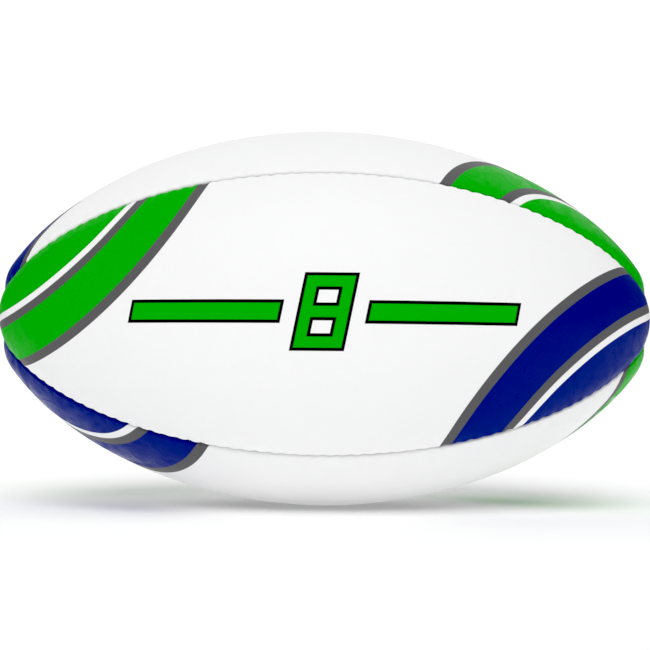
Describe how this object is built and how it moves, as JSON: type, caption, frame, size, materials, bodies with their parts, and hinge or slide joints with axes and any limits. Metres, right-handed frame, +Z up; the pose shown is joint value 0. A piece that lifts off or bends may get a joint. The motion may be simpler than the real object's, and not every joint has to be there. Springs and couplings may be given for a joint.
{
  "type": "rugby ball",
  "caption": "Stitched rugby ball: laminated cover panels with turned-in seams over linings and a rubber bladder, with a push-in valve.",
  "frame": {"origin": "centre of the ball", "axes": "+X along the ball's long axis, to the right in the picture; +Z up through the valve; the front panel faces -Y"},
  "size_m": [0.2994, 0.174, 0.1737],
  "materials": {
    "cover": "satin",
    "lining": "matte",
    "thread": "matte",
    "bladder": "satin",
    "valve_rubber": "satin",
    "patch": "matte"
  },
  "bodies": {
    "ball": {"cover_front": "cover", "cover_top": "cover", "cover_back": "cover", "cover_bottom": "cover", "lining_front": "lining", "lining_top": "lining", "lining_back": "lining", "lining_bottom": "lining", "seam_thread_1": "thread", "seam_thread_2": "thread", "seam_thread_3": "thread", "seam_thread_4": "thread", "bladder": "bladder", "valve_housing": "valve_rubber", "valve_patch": "patch"},
    "plug": {"valve_plug": "valve_rubber"}
  },
  "joints": [
    {"name": "valve_plug_pull", "type": "slide", "parent": "ball", "child": "plug", "axis": [0, 0, 1], "range_m": [0, 0.016]}
  ]
}
